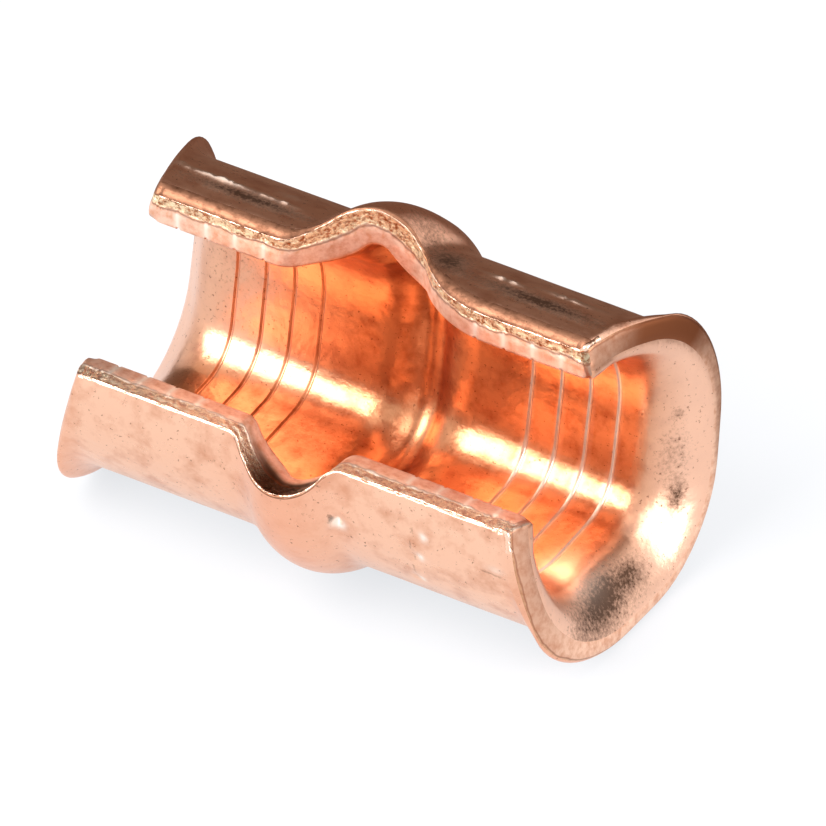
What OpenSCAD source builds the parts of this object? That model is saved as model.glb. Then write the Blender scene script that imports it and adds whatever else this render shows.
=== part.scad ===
// Compression cable connector: an open barrel, stamped and rolled from one copper strip.
// The bore runs along X through the origin. The barrel lies on its front flank,
// with the opening up and towards -Y.

/* [Barrel] */
// Inner radius of the round sides
bore_r = 5.15; // [3:0.05:12]
// Thickness of the copper strip
wall = 2; // [1:0.05:3]
// Inner radius of the fold along the closed side
keel_r = 2.15; // [1:0.05:3.5]
// Lean of the flat flank on each side of the fold, in degrees
flank_angle = 40.7; // [25:0.1:50]
// Angle of the opening between the two rims, in degrees
opening_angle = 75.4; // [50:0.1:110]
// Length from mouth to mouth along the fold
overall_length = 26.3; // [23:0.1:40]

/* [Bead] */
// Height of the bead round the middle
bead_rise = 1.02; // [0.6:0.01:1.4]
// Inner radius of the bead's crown
bead_crown_r = 0.84; // [0.4:0.01:2]
// Outer radius where the bead runs into the barrel
bead_fillet_r = 1.16; // [0.5:0.01:2]

/* [Rims] */
// Depth of the dip in each rim where the bead meets it
rim_dip = 2.1; // [1:0.05:2.6]
// Radius of the bottom of each rim's dip
rim_dip_r = 2.4; // [2:0.05:3]
// Radius of the shoulders on each side of the dip
rim_shoulder_r = 0.85; // [0.4:0.05:1.5]

/* [Bell mouths] */
// Length of the bell inside each mouth, along the fold
bell_length = 2.7; // [2:0.05:3]
// Slope of the inside of a mouth, in degrees
bell_angle = 46; // [30:1:48]
// Inner radius where the bore turns out into a mouth
bell_fillet_r = 0.6; // [0.3:0.05:1.5]
// Length over which the outside of each mouth turns out, along the fold
mouth_length = 2.45; // [2.2:0.05:3]
// Height of the outside of a mouth above the barrel
mouth_rise = 1.1; // [0.9:0.05:1.5]
// Outer radius where the barrel turns out into a mouth
mouth_fillet_r = 1.4; // [1:0.05:2]
// Outer radius of the rounded shoulder behind a mouth's lip
mouth_shoulder_r = 0.9; // [0.6:0.05:1.2]
// Radius of the bowed end edges, seen from the side
end_bow_r = 46; // [40:0.5:80]

/* [Grip grooves] */
// Grooves in the bore of each half
groove_count = 4; // [1:1:5]
// Distance from one groove to the next
groove_pitch = 1.43; // [0.8:0.01:1.6]
// Distance from the outermost groove to the bell
groove_end_gap = 0.91; // [0.3:0.01:1.5]
// Radius of a groove's round section
groove_r = 0.11; // [0.05:0.01:0.3]

/* [Hidden] */
$fn = 96;

// Spare material, and spare angle at the rims, that a later cut takes away
spare = 1;
spare_angle = 5;
// How far a rounding runs into the one next to it
blend = 0.002;
half_length = overall_length / 2;
mouth_start = half_length - mouth_length;
bell_start = half_length - bell_length;

// The fold is centred below the bore, and the flanks are tangent to both
keel_drop = (bore_r - keel_r) / cos(flank_angle);
flank_width = (bore_r - keel_r) * tan(flank_angle);
rim_angle = 180 - opening_angle / 2;
outer_r = bore_r + wall;
lowest_z = -(keel_drop + keel_r + wall + mouth_rise);

// Length of an S-shaped rise made of two tangent arcs, and the point where they meet
function rise_run(rise, radii) = sqrt(rise * (2 * radii - rise));
function rise_bend(run, rise, fillet_r) =
    let (turn = 2 * atan(rise / run)) [fillet_r * (1 - cos(turn)), fillet_r * sin(turn)];

// Area below a bump whose crown is at y = 0: x is the height, and the foot is at x = 0
module below_bump(rise, fillet_r, crown_r, floor_x) {
    run = rise_run(rise, fillet_r + crown_r);
    bend = rise_bend(run, rise, fillet_r) - [0, run];
    crown_x = rise - crown_r;
    difference() {
        polygon([[floor_x, -run], [0, -run], bend, [crown_x, 0], [bend.x, -bend.y], [0, run], [floor_x, run]]);
        for (side = [-1, 1]) translate([fillet_r, side * run]) circle(fillet_r + blend);
    }
    intersection() {
        translate([crown_x, 0]) circle(crown_r + blend);
        translate([floor_x, -run]) square([rise + spare - floor_x, 2 * run]);
    }
}

// Area below the outside of one mouth, which rises and then stays level
module below_mouth() {
    run = rise_run(mouth_rise, mouth_fillet_r + mouth_shoulder_r);
    bend = rise_bend(run, mouth_rise, mouth_fillet_r) + [0, mouth_start];
    lip = [mouth_rise - mouth_shoulder_r, mouth_start + run];
    end_y = half_length + spare;
    difference() {
        polygon([[-wall, mouth_start], [0, mouth_start], bend, lip, [lip.x, end_y], [-wall, end_y]]);
        translate([mouth_fillet_r, mouth_start]) circle(mouth_fillet_r + blend);
    }
    translate(lip) circle(mouth_shoulder_r + blend);
    translate([-wall, lip.y]) square([wall + mouth_rise, end_y - lip.y]);
}

// Area of the bore, with a bell at each end
module below_bells() {
    bend = bell_fillet_r * [1 - cos(bell_angle), sin(bell_angle)] + [0, bell_start];
    past_y = half_length + 2 * spare;
    past = [bend.x + (past_y - bend.y) * tan(bell_angle), past_y];
    difference() {
        polygon([
            [-2 * spare, -past.y], [past.x, -past.y], [bend.x, -bend.y], [0, -bell_start],
            [0, bell_start], bend, past, [-2 * spare, past.y]
        ]);
        for (side = [-1, 1]) translate([bell_fillet_r, side * bell_start]) circle(bell_fillet_r + blend);
    }
}

// Section of the strip along the barrel: x is the height over the bore, y runs along it
module strip_section() {
    end_y = half_length + spare;
    difference() {
        union() {
            translate([-spare, -end_y]) square([spare + wall, 2 * end_y]);
            translate([wall, 0]) {
                below_bump(bead_rise, bead_fillet_r, bead_crown_r + wall, -wall);
                for (side = [0, 1]) mirror([0, side]) below_mouth();
            }
        }
        below_bells();
        below_bump(bead_rise, bead_fillet_r + wall, bead_crown_r, -spare);
        for (side = [-1, 1]) for (i = [0:groove_count - 1])
            translate([0, side * (bell_start - groove_end_gap - i * groove_pitch)]) circle(groove_r);
    }
}

// Turns a shape drawn round Z, with 0 degrees along X, so that it runs along X
module along_bore() {
    rotate([90, 0, 90]) children();
}

// One half of the strip as rolled: the round side, the flat flank and half of the fold
module rolled_half() {
    along_bore() rotate([0, 0, flank_angle - 90]) {
        rotate_extrude(angle = rim_angle + spare_angle - flank_angle) translate([bore_r, 0]) strip_section();
        rotate([90, 0, 0]) linear_extrude(flank_width) translate([bore_r, 0]) strip_section();
        translate([bore_r - keel_r, -flank_width]) mirror([0, 1, 0])
            rotate_extrude(angle = flank_angle + spare_angle) translate([keel_r, 0]) strip_section();
    }
}

// What is cut from a side to leave its rim, square to the strip and dipping at the bead
module rim_cut() {
    from_r = bore_r / 2;
    to_r = outer_r + bead_rise + spare;
    along_bore() rotate([0, 0, rim_angle - 90]) rotate([90, 0, 90])
        translate([0, 0, from_r]) linear_extrude(to_r - from_r) mirror([1, 0]) {
            translate([-2 * spare, -overall_length]) square([2 * spare, 2 * overall_length]);
            below_bump(rim_dip, rim_shoulder_r, rim_dip_r, -spare);
        }
}

// Side view of one half of the blank, whose two ends bow outwards towards the fold
module end_trim() {
    reach = 2 * outer_r;
    rotate([90, 0, 0]) translate([0, 0, -reach]) linear_extrude(reach) intersection_for (side = [-1, 1])
        translate([side * (end_bow_r - half_length), lowest_z]) circle(end_bow_r);
}

// One half of the connector, from the middle of the fold to its rim
module half_connector() {
    difference() {
        intersection() {
            rolled_half();
            end_trim();
        }
        rim_cut();
    }
}

// The whole connector: one piece of copper
module connector_body() {
    color([0.80, 0.47, 0.34]) rotate([flank_angle, 0, 0])
        for (side = [0, 1]) mirror([0, side, 0]) half_connector();
}

connector_body();
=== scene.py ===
"""Looks of an open copper compression connector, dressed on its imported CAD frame.

The barrel is one piece of strip: a fold along the closed side, two flat flanks and two round sides.
Its sizes are in millimetres and its angles in degrees. The finished meshes and the studio are in metres.
"""

import logging
import math
from dataclasses import dataclass
from enum import Enum, IntEnum
from typing import Any, Optional

import bpy
import numpy as np
from mathutils import Matrix, Vector, noise


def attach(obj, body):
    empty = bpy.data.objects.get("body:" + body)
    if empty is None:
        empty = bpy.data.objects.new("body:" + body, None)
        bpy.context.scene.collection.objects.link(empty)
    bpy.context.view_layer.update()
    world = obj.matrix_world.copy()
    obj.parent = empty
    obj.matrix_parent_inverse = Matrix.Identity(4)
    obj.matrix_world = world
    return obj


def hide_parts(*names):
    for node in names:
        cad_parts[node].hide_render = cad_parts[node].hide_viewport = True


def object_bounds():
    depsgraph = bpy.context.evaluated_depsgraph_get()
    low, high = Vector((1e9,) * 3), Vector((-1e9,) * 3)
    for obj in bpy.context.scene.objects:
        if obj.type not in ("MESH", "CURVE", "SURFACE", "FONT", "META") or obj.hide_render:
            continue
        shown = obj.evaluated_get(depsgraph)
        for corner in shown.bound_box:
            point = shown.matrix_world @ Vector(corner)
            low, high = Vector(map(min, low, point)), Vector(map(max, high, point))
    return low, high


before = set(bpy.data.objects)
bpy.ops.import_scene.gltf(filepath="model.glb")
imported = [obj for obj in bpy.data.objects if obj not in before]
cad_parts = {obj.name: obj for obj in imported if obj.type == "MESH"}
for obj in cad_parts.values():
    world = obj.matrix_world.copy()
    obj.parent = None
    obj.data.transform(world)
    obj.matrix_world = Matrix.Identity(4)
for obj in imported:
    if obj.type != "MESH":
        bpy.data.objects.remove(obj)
CAD_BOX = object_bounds()

LOG = logging.getLogger("connector")
MM = 0.001
IMAGE_PX = 826
# Pale copper: rubbed bright by the tools where the grooves meet the rims, and painted highlights at the
# dents, scratch, rubbed lines, right-half grooves and in the bore; it also pales the near rim's torn band
POLISH_AND_HIGHLIGHT = "#fff0e2"

Array = np.ndarray
Point = tuple[float, float, float]


class Zone(IntEnum):
    """Surfaces of the barrel, in the order of its material slots."""

    BORE = 0
    OUTSIDE = 1
    RIM = 2
    END = 3
    # Outer edges in a dark brown that is painted shade
    EDGE = 4


class Rim(Enum):
    """The two long edges of the strip, and the side of the fold that each is on."""

    NEAR = -1
    FAR = 1


def linear(hex_colour: str) -> tuple[float, float, float, float]:
    """Turns an sRGB hex colour to linear light.

    Args:
        hex_colour: Six hex digits after a hash sign.

    Returns:
        Red, green, blue and an alpha of 1.
    """
    parts = [int(hex_colour[i : i + 2], 16) / 255 for i in (1, 3, 5)]
    light = [p / 12.92 if p <= 0.04045 else ((p + 0.055) / 1.055) ** 2.4 for p in parts]
    return (light[0], light[1], light[2], 1.0)


def per_mm(size_mm: float) -> float:
    """Gives a texture's scale from the size of its features in millimetres."""
    return 1 / (size_mm * MM)


def add_node(
    tree: bpy.types.NodeTree,
    kind: str,
    inputs: Optional[dict[Any, Any]] = None,
    **settings: Any,
) -> bpy.types.Node:
    """Adds a node with its settings and links.

    Args:
        tree: The node tree that gets the node.
        kind: The node's type.
        inputs: A socket to link, or a constant, for each input named or numbered.
        settings: The node's own properties.

    Returns:
        The new node.
    """
    node = tree.nodes.new(kind)
    for name, value in settings.items():
        setattr(node, name, value)
    for key, value in (inputs or {}).items():
        if isinstance(value, bpy.types.NodeSocket):
            tree.links.new(value, node.inputs[key])
        else:
            node.inputs[key].default_value = value
    return node


def add_object(name: str, data: bpy.types.ID) -> bpy.types.Object:
    """Makes an object at the origin and adds it to the scene.

    Args:
        name: The object's name.
        data: Its mesh, lamp or camera.

    Returns:
        The new object.
    """
    made = bpy.data.objects.new(name, data)
    bpy.context.scene.collection.objects.link(made)
    return made


def copper_material(
    name: str,
) -> tuple[bpy.types.Material, bpy.types.NodeTree, bpy.types.Node, bpy.types.NodeSocket]:
    """Starts the material of a bare copper surface.

    Args:
        name: The material's name.

    Returns:
        The material, its nodes, its shader and the Object coordinates.
    """
    material = bpy.data.materials.new(name)
    material.use_nodes = True
    tree = material.node_tree
    shader = tree.nodes["Principled BSDF"]
    shader.inputs["Metallic"].default_value = 1.0
    return material, tree, shader, add_node(tree, "ShaderNodeTexCoord").outputs["Object"]


def bump_height(x: Array, rise: Any, fillet_r: Any, crown_r: Any) -> Array:
    """Height of a bump made of a crown arc between two fillet arcs.

    Args:
        x: Distances from the crown.
        rise: Height of the crown, one value or one for each x.
        fillet_r: Radius at the foot, one value or one for each x.
        crown_r: Radius of the crown, one value or one for each x.

    Returns:
        The height at each x, zero past the foot.
    """
    run = np.sqrt(rise * (2 * (fillet_r + crown_r) - rise))
    turn = 2 * np.arctan(rise / run)
    far = np.abs(x)
    bend = run - fillet_r * np.sin(turn)
    foot = np.clip(run - far, 0, fillet_r)
    on_fillet = fillet_r - np.sqrt(np.maximum(fillet_r**2 - foot**2, 0))
    on_crown = rise - crown_r + np.sqrt(np.maximum(crown_r**2 - far**2, 0))
    return np.where(far < bend, on_crown, np.where(far < run, on_fillet, 0))


@dataclass(frozen=True)
class Spot:
    """A mark on the strip, by its place along the bore and its angle from the fold."""

    x: float
    angle: float
    reach_x: float
    reach_angle: float
    strength: float

    def share(self, x: Array, angle: Array) -> Array:
        """Strength of the mark at each place, falling off smoothly from its middle."""
        near = ((x - self.x) / self.reach_x) ** 2 + ((angle - self.angle) / self.reach_angle) ** 2
        return self.strength * np.exp(-near)


def total_share(spots: tuple[Spot, ...], x: Array, angle: Array) -> Array:
    """Sum of several marks at each place."""
    return np.sum([spot.share(x, angle) for spot in spots], axis=0)


@dataclass(frozen=True)
class Ramp:
    """A change that starts at one value, is complete a length further on, and then stays level."""

    start: float
    length: float
    strength: float = 1.0

    def share(self, values: Array) -> Array:
        """Strength of the change at each value."""
        return self.strength * np.clip((values - self.start) / self.length, 0, 1)


@dataclass(frozen=True)
class CopperFinish:
    """Bare copper: base colour, patches, specks, tarnish, painted light and shade, and roughness of one kind
    of surface.
    """

    name: str
    base: str
    patch: str
    speck: str
    roughness: float
    roughness_spread: float
    patch_mm: float
    speck_mm: float
    speck_share: float
    streak_mm: float
    streak_depth_mm: float
    grain_mm: float
    grain_depth_mm: float
    # Tint for the mouth attribute: in the bore a paler colour, painted reflection in the bells; outside a
    # darker one, painted shade at the mouths and the bead
    mouth: str = "#f9c9ae"
    # Dark colour: tarnish in the bore, and painted shade outside
    tarnish_and_shade: str = "#4a3224"
    # Tarnish lies in blotches, which spread its edge and make it rougher
    blotch_mm: float = 0.19
    blotch_spread: float = 0.75
    tarnish_roughness: float = 0.3
    # Length of a drawn line over its width
    streak_stretch: float = 5.0
    # Value of the noise at which specks would start with a share of zero
    speck_noise: float = 0.74

    def build(self) -> bpy.types.Material:
        """Builds the material.

        Returns:
            A material that reads Object coordinates and the barrel's attributes for the mouths' tint, for
            tarnish and painted shade, and for polish and painted highlights.
        """
        material, tree, shader, place = copper_material(self.name)
        # Strip is drawn along its length, which leaves fine lines along the bore
        along = add_node(
            tree, "ShaderNodeMapping", {"Vector": place, "Scale": (1 / self.streak_stretch, 1.0, 1.0)}
        )
        noises = {}
        for name, vector, size_mm, detail, roughness in (
            ("patches", place, self.patch_mm, 5.0, 0.6),
            ("streaks", along.outputs[0], self.streak_mm, 4.0, 0.65),
            ("specks", place, self.speck_mm, 3.0, 0.7),
            ("blotches", place, self.blotch_mm, 3.0, 0.7),
            ("grain", place, self.grain_mm, 4.0, 0.55),
        ):
            inputs = {"Vector": vector, "Scale": per_mm(size_mm), "Detail": detail, "Roughness": roughness}
            noises[name] = add_node(tree, "ShaderNodeTexNoise", inputs).outputs["Fac"]
        marks = {
            name: add_node(tree, "ShaderNodeAttribute", attribute_name=name).outputs["Fac"]
            for name in ("mouth", "tarnish_and_shade", "polish_and_highlight")
        }
        stained = add_node(
            tree,
            "ShaderNodeMath",
            {0: noises["blotches"], 1: self.blotch_spread, 2: marks["tarnish_and_shade"]},
            operation="MULTIPLY_ADD",
        )
        speck_edge = self.speck_noise - self.speck_share
        smoothest = self.roughness - self.roughness_spread
        roughest = self.roughness + self.roughness_spread
        # What each pattern gives at two values of its noise
        shares = {}
        for name, value, start, end, at_start, at_end in (
            ("patches", noises["patches"], 0.46, 0.72, 0.0, 0.8),
            ("specks", noises["specks"], speck_edge, speck_edge + 0.07, 0.0, 0.75),
            ("tarnish_and_shade", stained.outputs[0], 0.58, 1.02, 0.0, 0.95),
            ("roughness", noises["streaks"], 0.3, 0.7, smoothest, roughest),
        ):
            inputs = {0: value, 1: start, 2: end, 3: at_start, 4: at_end}
            shares[name] = add_node(tree, "ShaderNodeMapRange", inputs).outputs[0]
        colour: Any = linear(self.base)
        for share, layer in (
            (shares["patches"], self.patch),
            (marks["mouth"], self.mouth),
            (shares["specks"], self.speck),
            (shares["tarnish_and_shade"], self.tarnish_and_shade),
            (marks["polish_and_highlight"], POLISH_AND_HIGHLIGHT),
        ):
            inputs = {"Factor": share, "A": colour, "B": linear(layer)}
            colour = add_node(tree, "ShaderNodeMix", inputs, data_type="RGBA").outputs["Result"]
        rough = add_node(
            tree,
            "ShaderNodeMath",
            {0: shares["tarnish_and_shade"], 1: self.tarnish_roughness, 2: shares["roughness"]},
            operation="MULTIPLY_ADD",
        )
        grain_height = add_node(
            tree, "ShaderNodeMath", {0: noises["grain"], 1: self.grain_depth_mm}, operation="MULTIPLY"
        )
        height = add_node(
            tree,
            "ShaderNodeMath",
            {0: noises["streaks"], 1: self.streak_depth_mm, 2: grain_height.outputs[0]},
            operation="MULTIPLY_ADD",
        )
        relief = add_node(
            tree, "ShaderNodeBump", {"Height": height.outputs[0], "Distance": MM, "Strength": 1.0}
        )
        tree.links.new(colour, shader.inputs["Base Color"])
        tree.links.new(rough.outputs[0], shader.inputs["Roughness"])
        tree.links.new(relief.outputs["Normal"], shader.inputs["Normal"])
        return material


@dataclass(frozen=True)
class ShearedFinish:
    """Copper cut by a press: a burnished band by the bore, a dark line, then a torn band."""

    name: str
    burnished: str = "#fbd3bd"
    burnished_dark: str = "#e6ac8c"
    # Darker colour for the darkened places: painted shade on the right end, and the near rim's dip
    darkening: str = "#3f2617"
    border: str = "#6b3218"
    torn: str = "#ffe8c2"
    torn_dark: str = "#a9633a"
    # Place of the border between the bands and how far it wavers, as shares of the wall from the bore
    border_at: float = 0.52
    waver: float = 0.22
    waver_mm: float = 1.1
    mottle_mm: float = 0.4
    torn_mm: float = 0.2
    torn_depth_mm: float = 0.07
    burnished_roughness: float = 0.48
    torn_roughness: float = 0.36

    def build(self) -> bpy.types.Material:
        """Builds the material.

        Returns:
            A material that reads Object coordinates and the barrel's attributes for the shear, for the
            darker places and for the polish.
        """
        material, tree, shader, place = copper_material(self.name)
        noises = {}
        for name, size_mm, detail, roughness in (
            ("tears", self.torn_mm, 4.0, 0.65),
            ("waver", self.waver_mm, 3.0, 0.5),
            ("mottles", self.mottle_mm, 5.0, 0.65),
        ):
            inputs = {"Vector": place, "Scale": per_mm(size_mm), "Detail": detail, "Roughness": roughness}
            noises[name] = add_node(tree, "ShaderNodeTexNoise", inputs).outputs["Fac"]
        marks = {
            name: add_node(tree, "ShaderNodeAttribute", attribute_name=name).outputs["Fac"]
            for name in ("shear", "darkening", "polish_and_highlight")
        }
        wavered = add_node(
            tree,
            "ShaderNodeMath",
            {0: noises["waver"], 1: self.waver, 2: marks["shear"]},
            operation="MULTIPLY_ADD",
        )
        border = self.border_at + self.waver / 2
        off_border = add_node(
            tree, "ShaderNodeMath", {0: wavered.outputs[0], 1: border}, operation="SUBTRACT"
        )
        from_border = add_node(tree, "ShaderNodeMath", {0: off_border.outputs[0]}, operation="ABSOLUTE")
        # What each pattern gives at two values of its noise or its distance
        shares = {}
        for name, value, start, end, at_start, at_end in (
            ("torn", wavered.outputs[0], border, border + 0.06, 0.0, 1.0),
            ("mottles", noises["mottles"], 0.4, 0.66, 0.0, 1.0),
            ("line", from_border.outputs[0], 0.01, 0.05, 0.62, 0.0),
        ):
            inputs = {0: value, 1: start, 2: end, 3: at_start, 4: at_end}
            shares[name] = add_node(tree, "ShaderNodeMapRange", inputs).outputs[0]
        torn = add_node(tree, "ShaderNodeValToRGB", {"Fac": noises["tears"]})
        torn_tones = ((0.36, self.torn_dark), (0.56, self.torn))
        for element, (position, tone) in zip(torn.color_ramp.elements, torn_tones):
            element.position = position
            element.color = linear(tone)
        colour: Any = linear(self.burnished)
        for share, layer in (
            (shares["mottles"], linear(self.burnished_dark)),
            (shares["torn"], torn.outputs["Color"]),
            (marks["darkening"], linear(self.darkening)),
            (shares["line"], linear(self.border)),
            (marks["polish_and_highlight"], linear(POLISH_AND_HIGHLIGHT)),
        ):
            inputs = {"Factor": share, "A": colour, "B": layer}
            colour = add_node(tree, "ShaderNodeMix", inputs, data_type="RGBA").outputs["Result"]
        rough = add_node(
            tree,
            "ShaderNodeMapRange",
            {0: shares["torn"], 1: 0.0, 2: 1.0, 3: self.burnished_roughness, 4: self.torn_roughness},
        )
        height = add_node(
            tree, "ShaderNodeMath", {0: noises["tears"], 1: shares["torn"]}, operation="MULTIPLY"
        )
        relief = add_node(
            tree,
            "ShaderNodeBump",
            {"Height": height.outputs[0], "Distance": self.torn_depth_mm * MM, "Strength": 1.0},
        )
        tree.links.new(colour, shader.inputs["Base Color"])
        tree.links.new(rough.outputs[0], shader.inputs["Roughness"])
        tree.links.new(relief.outputs["Normal"], shader.inputs["Normal"])
        return material


@dataclass(frozen=True)
class BurrFinish:
    """Freshly torn copper, drawn out thin."""

    name: str
    bright: str = "#fde6d4"
    deep: str = "#f3b68f"
    roughness: float = 0.22
    patch_mm: float = 0.3

    def build(self) -> bpy.types.Material:
        """Builds the material.

        Returns:
            A material that reads Object coordinates.
        """
        material, tree, shader, place = copper_material(self.name)
        shader.inputs["Roughness"].default_value = self.roughness
        patches = add_node(
            tree, "ShaderNodeTexNoise", {"Vector": place, "Scale": per_mm(self.patch_mm), "Detail": 2.0}
        )
        colour = add_node(
            tree,
            "ShaderNodeMix",
            {"Factor": patches.outputs["Fac"], "A": linear(self.bright), "B": linear(self.deep)},
            data_type="RGBA",
        )
        tree.links.new(colour.outputs["Result"], shader.inputs["Base Color"])
        return material


FINISHES = {
    # Rolled against the former's face, so smoother, and cleaner than the outside
    Zone.BORE: CopperFinish(
        name="burnished bore copper",
        base="#d08e66",
        patch="#a45d3d",
        speck="#6a3420",
        roughness=0.3,
        roughness_spread=0.015,
        patch_mm=0.9,
        speck_mm=0.19,
        speck_share=0.11,
        streak_mm=0.5,
        streak_depth_mm=0.001,
        grain_mm=0.6,
        grain_depth_mm=0.03,
    ),
    # Handled mill strip: paler, softer reflections, drawn lines, and fine pits that hold oxide
    Zone.OUTSIDE: CopperFinish(
        name="rolled strip copper",
        base="#f7c5a8",
        patch="#d29272",
        speck="#6e3b26",
        roughness=0.3,
        roughness_spread=0.035,
        patch_mm=1.3,
        speck_mm=0.2,
        speck_share=0.1,
        streak_mm=0.3,
        streak_depth_mm=0.004,
        grain_mm=0.5,
        grain_depth_mm=0.03,
        # Darker at the mouths and the bead: painted shade
        mouth="#efac8c",
    ),
    # Rims are sheared: smooth where the punch rubbed, bright and torn where the strip broke off
    Zone.RIM: ShearedFinish(name="sheared rim copper"),
    # Ends are cropped and tumbled: a matt even face with a dark line along its outer edge, and darker
    # towards the far rim as painted shade
    Zone.END: ShearedFinish(
        name="cropped end copper",
        burnished="#f6cbb0",
        burnished_dark="#dba486",
        darkening="#94593a",
        border="#8a5136",
        torn="#f3c19c",
        torn_dark="#d99e78",
        border_at=0.8,
        torn_mm=0.3,
        torn_depth_mm=0.03,
    ),
    # The far rim's outer edge, and the near rim's outer edge in its dip: rough and finely scored, and dark
    # brown as painted shade
    Zone.EDGE: CopperFinish(
        name="shaded edge copper",
        base="#9d6e55",
        patch="#54301f",
        speck="#3f2519",
        roughness=0.52,
        roughness_spread=0.06,
        patch_mm=0.4,
        speck_mm=0.14,
        speck_share=0.12,
        streak_mm=0.2,
        streak_depth_mm=0.012,
        grain_mm=0.3,
        grain_depth_mm=0.03,
        mouth="#9d6e55",
    ),
}
# A burr is too thin to be handled or rubbed, so it keeps the bright colour of the fresh tear
BURR_COPPER = BurrFinish(name="torn copper burr")


@dataclass(frozen=True)
class MeshSteps:
    """Spacing of the barrel's mesh, and the number of steps round its edges."""

    bead: float = 0.11
    groove: float = 0.0285
    dented: float = 0.12
    plain: float = 0.24
    mouth: float = 0.13
    strip: float = 0.3
    by_rim: float = 0.2
    wall: float = 0.12
    round_edge: int = 5
    near_edge: int = 3
    # Half length of the fine mesh at the bead, and width of the one by a rim
    bead_reach: float = 3.4
    rim_band: float = 2.0
    # Lines across a dent or a rubbed line, as shares of its reach, and the least gap between lines
    mark_lines: tuple[float, ...] = (-1.3, -0.5, 0.5, 1.3)
    least: float = 0.012


@dataclass(frozen=True)
class StripWear:
    """Dents, rubs, stains and polish on the strip, and the painted highlights, reflections and shade on it.
    """

    # Depth of each dent in the outside of the near wall, below zero for the metal that it raised
    dents: tuple[Spot, ...] = (
        Spot(2.38, -119.9, 0.2, 2.0, 0.28),
        Spot(2.1, -117.5, 0.16, 1.6, -0.12),
        Spot(6.45, -127.0, 0.22, 2.0, 0.09),
        Spot(6.2, -122.0, 0.16, 3.4, -0.06),
        Spot(6.3, -116.5, 0.2, 2.2, 0.09),
        Spot(6.15, -108.5, 0.16, 3.4, -0.06),
        Spot(6.05, -101.8, 0.2, 2.0, 0.08),
    )
    # Height of the rubbed lines on top of the far wall, which are broken up along their length
    rubs: tuple[Spot, ...] = (
        Spot(-8.6, 123.9, 1.9, 1.3, 0.2),
        Spot(-10.7, 122.2, 0.2, 1.4, 0.12),
        Spot(-5.6, 124.4, 0.9, 0.9, 0.12),
        Spot(-5.5, 118.0, 0.6, 2.4, 0.07),
        Spot(5.4, 121.2, 1.0, 1.3, 0.16),
        Spot(8.4, 118.0, 1.3, 1.3, 0.18),
    )
    rub_break_mm: float = 0.35
    rub_mean: float = 0.7
    # Tarnish in the bore: a grey haze towards the left mouth, and the stains of the right one
    tarnish_spots: tuple[Spot, ...] = (
        Spot(-9.5, 50.0, 4.0, 60.0, 0.2),
        Spot(12.0, -43.0, 0.95, 17.0, 0.66),
        Spot(12.4, -66.0, 0.8, 17.0, 0.42),
        Spot(12.2, -24.0, 0.6, 9.0, 0.4),
        Spot(12.25, 9.0, 0.3, 6.0, 0.5),
        Spot(11.9, 26.0, 0.9, 20.0, 0.3),
        Spot(11.95, 46.0, 0.25, 3.0, 0.3),
    )
    # Painted shade outside: by the dents, creases and scratch on the near wall, along the far wall's top and
    # on the far bulge
    dent_shades: tuple[Spot, ...] = (
        Spot(2.14, -121.0, 0.09, 3.0, 0.7),
        Spot(6.15, -129.0, 0.09, 2.4, 0.45),
        Spot(6.08, -122.5, 0.09, 3.4, 0.45),
        Spot(6.2, -116.0, 0.09, 2.0, 0.4),
        Spot(6.05, -109.0, 0.09, 3.6, 0.45),
        Spot(9.9, -122.8, 0.5, 0.9, 0.4),
        Spot(10.6, -121.9, 0.35, 0.9, 0.35),
        Spot(-6.9, 129.0, 3.6, 4.2, 0.68),
        Spot(7.4, 127.5, 3.6, 5.0, 0.68),
        Spot(2.7, 122.0, 1.0, 10.0, 0.5),
        Spot(1.0, 114.0, 1.8, 12.0, 0.36),
    )
    # Painted highlights: by the dents and scratch on the near wall, and in the bore by the near side of the
    # right bell, where a lamp is mirrored twice
    dent_glints: tuple[Spot, ...] = (
        Spot(2.5, -119.0, 0.28, 2.2, 1.6),
        Spot(6.7, -127.6, 0.18, 1.5, 1.3),
        Spot(6.5, -116.9, 0.18, 1.5, 1.3),
        Spot(6.25, -101.8, 0.18, 1.5, 1.3),
        Spot(10.3, -125.0, 0.4, 1.4, 0.45),
    )
    bore_glints: tuple[Spot, ...] = (Spot(10.3, -54.0, 1.0, 17.0, 1.1),)
    # Painted highlight along the rubbed lines, a paler near rim's torn band, and painted highlight in the
    # right half's grooves
    rub_highlight: float = 0.9
    torn_pale: float = 0.4
    groove_polish_and_highlight: float = 0.6
    # Width of a groove's bright mark on a rim over the groove's radius, and where it starts, from outside
    groove_mark_width: float = 1.5
    groove_mark_band: Ramp = Ramp(0.5, 0.05)
    # The bore pales towards the mouths, most on the far side of the left one, as painted reflection;
    # outside, the mouths and the bead turn darker as painted shade
    mouth_tint: float = 0.85
    left_pale: Ramp = Ramp(3.2, 5.0, 0.5)
    far_pale: Ramp = Ramp(-10.0, 20.0)
    bead_shade: float = 0.75
    bead_shade_reach: float = 2.6
    # The right end is darker towards the rims, by the angle, and clears again by the far one; towards the
    # far rim this is painted shade
    end_face: Ramp = Ramp(-0.6, 0.2)
    far_end_shade: Ramp = Ramp(66.0, 14.0)
    far_end_clear: Ramp = Ramp(112.0, 15.0, 0.45)
    near_end_dark: Ramp = Ramp(65.0, 40.0, 0.5)
    # The near rim is dark in its dip: reach along it, and share of the wall where the dark starts
    dip_dark_reach: float = 2.1
    dip_dark: Ramp = Ramp(0.25, 0.15)


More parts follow.
